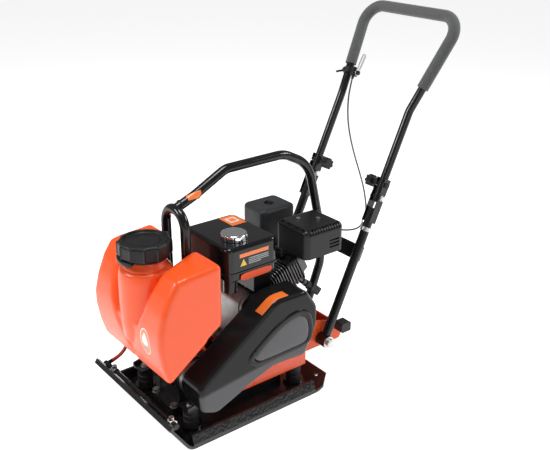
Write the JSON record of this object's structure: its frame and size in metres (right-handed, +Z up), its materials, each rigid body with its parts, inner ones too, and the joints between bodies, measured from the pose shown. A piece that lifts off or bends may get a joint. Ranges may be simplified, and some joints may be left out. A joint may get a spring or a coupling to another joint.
{
  "type": "plate compactor",
  "caption": "Petrol vibratory plate compactor with front water tank, belt-driven exciter on a turned-up sole plate, lifting frame and folding operator handle.",
  "frame": {"origin": "centre of the flat sole face on the ground", "axes": "+Z up, -Y towards the front toe and water tank, +Y towards the operator's handle, +X towards the belt cover"},
  "size_m": [0.421, 1.0543, 1.0505],
  "materials": {
    "black_enamel": "gloss powder coat",
    "black_cast": "painted casting",
    "orange_paint": "gloss powder coat",
    "orange_plastic": "blow-moulded satin gloss",
    "black_plastic": "moulded",
    "grey_plastic": "fine grain",
    "black_gloss": "high gloss",
    "cover_grey": "satin",
    "satin_black": "heat-resistant satin",
    "zinc": "zinc plated",
    "steel": "machined",
    "cast_alloy": "die cast",
    "chrome": "polished",
    "rubber": "moulded",
    "foam": "closed-cell foam",
    "red_hose": "smooth",
    "red_plastic": "moulded",
    "brass": "machined"
  },
  "bodies": {
    "plate": {"base_plate": "black_enamel", "exciter_housing": "black_cast", "exciter_caps": "cast_alloy", "exciter_bearings": "steel", "exciter_bolts": "zinc", "sprinkler_bar": "black_enamel", "sprinkler_clamps": "zinc", "rubber_mounts": "rubber"},
    "exciter": {"exciter_shaft": "steel", "exciter_pulley": "steel"},
    "deck": {"engine_deck": "orange_paint", "handle_bracket": "orange_paint", "handle_stops": "rubber", "deck_bolts": "zinc", "crankcase": "cast_alloy", "crankcase_cover": "cast_alloy", "cylinder_barrel": "cast_alloy", "piston": "cast_alloy", "cylinder_head": "cast_alloy", "plug_boot": "rubber", "blower_cowl": "black_enamel", "recoil_cover": "black_plastic", "fuel_tank": "black_gloss", "tank_bracket": "black_enamel", "muffler_shield": "satin_black", "muffler": "steel", "air_filter_cover": "grey_plastic", "air_filter_base": "black_plastic", "carburettor": "cast_alloy", "belt_cover": "black_gloss", "belt_cover_back": "black_enamel", "lift_frame": "black_enamel", "water_tank": "orange_plastic", "cap_tether": "black_plastic", "water_valve": "brass", "water_hose": "red_hose", "drive_belt": "rubber", "throttle_cable_lower": "rubber"},
    "crank": {"crankshaft": "steel", "clutch_pulley": "steel", "flywheel": "cast_alloy"},
    "grip": {"starter_grip": "black_plastic"},
    "fuel_lid": {"fuel_cap": "chrome"},
    "wing": {"wing_nut": "black_plastic"},
    "choke": {"choke_lever": "black_plastic"},
    "fuel_tap": {"fuel_valve_lever": "black_plastic"},
    "speed_arm": {"speed_lever": "zinc"},
    "switch": {"switch_knob": "red_plastic"},
    "tank_lid": {"water_cap": "black_plastic"},
    "tap": {"valve_lever": "red_plastic"},
    "handle_base": {"handle_lower": "black_enamel", "fold_bolts": "zinc", "cable_clip": "zinc", "throttle_cable_upper": "rubber"},
    "handle_top": {"handle_upper": "black_enamel", "foam_grip": "foam", "throttle_body": "black_plastic"},
    "left_knob": {"knob_left": "black_plastic"},
    "right_knob": {"knob_right": "black_plastic"},
    "throttle": {"throttle_lever": "zinc"}
  },
  "joints": [
    {"name": "deck_float", "type": "slide", "parent": "plate", "child": "deck", "axis": [0, 0, 1], "range_m": [-0.003, 0.003], "stiffness_N_per_m": 220000, "deforming": ["rubber_mounts", "drive_belt", "water_hose"]},
    {"name": "crank_spin", "type": "hinge", "parent": "deck", "child": "crank", "pos_m": [0, 0.1, 0.258], "axis": [1, 0, 0], "continuous": true},
    {"name": "exciter_spin", "type": "hinge", "parent": "plate", "child": "exciter", "pos_m": [0, -0.132, 0.128], "axis": [1, 0, 0], "continuous": true},
    {"name": "handle_tilt", "type": "hinge", "parent": "deck", "child": "handle_base", "pos_m": [0, 0.292, 0.12], "axis": [1, 0, 0], "range_deg": [-14, 0.8], "deforming": ["throttle_cable_lower"]},
    {"name": "handle_fold", "type": "hinge", "parent": "handle_base", "child": "handle_top", "pos_m": [0, 0.48556, 0.53509], "axis": [1, 0, 0], "range_deg": [0, 100], "deforming": ["throttle_cable_upper"]},
    {"name": "knob_left_turn", "type": "hinge", "parent": "handle_top", "child": "left_knob", "pos_m": [-0.145, 0.50246, 0.57134], "axis": [1, 0, 0], "continuous": true},
    {"name": "knob_right_turn", "type": "hinge", "parent": "handle_top", "child": "right_knob", "pos_m": [0.145, 0.50246, 0.57134], "axis": [1, 0, 0], "continuous": true},
    {"name": "throttle_lever_turn", "type": "hinge", "parent": "handle_top", "child": "throttle", "pos_m": [-0.11832, 0.63341, 0.83866], "axis": [1, 0, 0], "range_deg": [0, 50]},
    {"name": "speed_arm_turn", "type": "hinge", "parent": "deck", "child": "speed_arm", "pos_m": [-0.02, 0.235, 0.386], "axis": [0, 0, 1], "range_deg": [0, 20]},
    {"name": "choke_turn", "type": "hinge", "parent": "deck", "child": "choke", "pos_m": [-0.104, 0.243, 0.352], "axis": [1, 0, 0], "range_deg": [0, 60]},
    {"name": "fuel_tap_turn", "type": "hinge", "parent": "deck", "child": "fuel_tap", "pos_m": [-0.104, 0.262, 0.318], "axis": [1, 0, 0], "range_deg": [-90, 0]},
    {"name": "switch_turn", "type": "hinge", "parent": "deck", "child": "switch", "pos_m": [-0.15, 0.199, 0.252], "axis": [1, 0, 0], "range_deg": [0, 60]},
    {"name": "starter_pull", "type": "slide", "parent": "deck", "child": "grip", "axis": [0, -0.3746, 0.9272], "range_m": [0, 0.6], "stiffness_N_per_m": 20, "springref_m": -0.15},
    {"name": "fuel_cap_lift", "type": "slide", "parent": "deck", "child": "fuel_lid", "axis": [0, 0, 1], "range_m": [0, 0.05]},
    {"name": "wing_nut_turn", "type": "hinge", "parent": "deck", "child": "wing", "pos_m": [-0.08, 0.255, 0.501], "axis": [0, 0, 1], "continuous": true},
    {"name": "water_cap_lift", "type": "slide", "parent": "deck", "child": "tank_lid", "axis": [0, 0, 1], "range_m": [0, 0.08]},
    {"name": "water_tap_turn", "type": "hinge", "parent": "deck", "child": "tap", "pos_m": [-0.168, -0.217, 0.188], "axis": [1, 0, 0], "range_deg": [0, 90]}
  ],
  "couplings": [
    {"joint": "exciter_spin", "follows": "crank_spin", "ratio": 1.3529},
    {"joint": "speed_arm_turn", "follows": "throttle_lever_turn", "ratio": 0.4}
  ]
}
